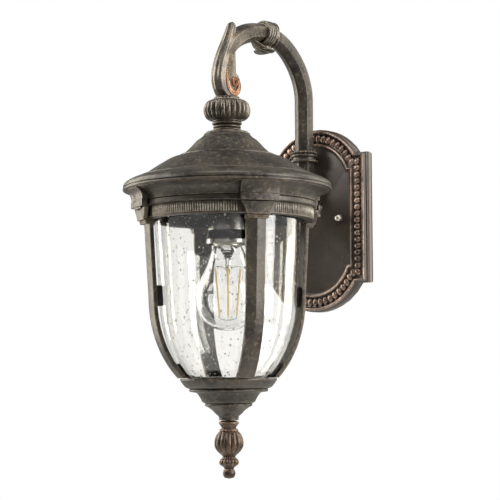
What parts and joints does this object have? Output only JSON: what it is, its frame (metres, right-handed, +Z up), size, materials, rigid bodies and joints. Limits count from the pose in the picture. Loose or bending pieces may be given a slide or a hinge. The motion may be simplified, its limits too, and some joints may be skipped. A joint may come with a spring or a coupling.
{
  "type": "outdoor wall lantern",
  "caption": "Wall lantern with an arched beaded backplate, a crook arm, a bell canopy and a hinged ribbed cage round a seeded glass bowl.",
  "frame": {"origin": "centre of the mounting strap's back face, on the wall plane", "axes": "+Z up, +Y into the wall, +X to the right for a person who faces the wall"},
  "size_m": [0.1884, 0.2352, 0.4236],
  "materials": {
    "bronze": "cast aluminium, oil-rubbed bronze paint with rubbed copper edges",
    "dark_bronze": "dark semi-gloss bronze paint",
    "copper_rubbed": "bronze paint rubbed back to a copper tone on the high spots",
    "zinc_steel": "zinc plated",
    "ground_green": "green passivated steel",
    "brass": "plain",
    "nickel": "nickel plated",
    "porcelain": "glazed white",
    "rubber": "moulded black",
    "foam": "closed-cell foam strip",
    "seeded_glass": "clear seeded glass, faint champagne tint",
    "lamp_glass": "clear blown glass",
    "filament": "amber phosphor coating",
    "lead_jacket": "heat-proof sleeve"
  },
  "bodies": {
    "root": {"backplate": "bronze", "wall_gasket": "foam", "wall_strap": "zinc_steel", "mounting_stud_left": "zinc_steel", "mounting_stud_right": "zinc_steel", "stud_nut_left": "zinc_steel", "stud_nut_right": "zinc_steel", "cap_nut_left": "copper_rubbed", "cap_nut_right": "copper_rubbed", "ground_screw": "ground_green", "arm_foot": "bronze", "foot_nipple": "zinc_steel", "foot_locknut": "zinc_steel", "arm_collar": "bronze", "crook_arm": "bronze", "scroll_arm": "bronze", "knot_band": "bronze", "crook_bud": "bronze", "lead_wire": "lead_jacket", "fluted_ball": "bronze", "neck_collar": "bronze", "lantern_nipple": "zinc_steel", "canopy": "bronze", "canopy_nut": "zinc_steel", "crown_ring": "bronze", "socket_bar": "zinc_steel", "bar_screw_left": "zinc_steel", "bar_screw_right": "zinc_steel", "bar_nut": "zinc_steel", "coupling_nut": "zinc_steel", "socket_cup": "dark_bronze", "socket_body": "porcelain", "socket_shell": "brass", "socket_contact": "brass"},
    "cage": {"cage_ring": "bronze", "hinge_pin": "dark_bronze", "bottom_cup": "bronze", "finial_rod": "zinc_steel", "finial_nut": "zinc_steel", "finial": "copper_rubbed", "glass_bowl": "seeded_glass", "glass_seal": "rubber", "rib_60": "bronze", "rib_150": "bronze", "rib_240": "bronze", "rib_330": "bronze", "pad_upper_60": "rubber", "pad_upper_150": "rubber", "pad_upper_240": "rubber", "pad_upper_330": "rubber", "pad_lower_60": "rubber", "pad_lower_150": "rubber", "pad_lower_240": "rubber", "pad_lower_330": "rubber"},
    "bulb": {"bulb_cap": "nickel", "bulb_glass": "lamp_glass", "bulb_stem": "lamp_glass", "filament_set": "filament"},
    "catch_screw": {"catch_screw": "dark_bronze"}
  },
  "joints": [
    {"name": "cage_swing", "type": "hinge", "parent": "root", "child": "cage", "pos_m": [-0.0415, -0.21288, -0.0003], "axis": [-0.866, 0.5, 0], "range_deg": [0, 95]},
    {"name": "bulb_unscrew", "type": "slide", "parent": "root", "child": "bulb", "axis": [0, 0, -1], "range_m": [0, 0.02]},
    {"name": "catch_screw_out", "type": "slide", "parent": "cage", "child": "catch_screw", "axis": [0.5, 0.866, 0], "range_m": [0, 0.0025]}
  ]
}
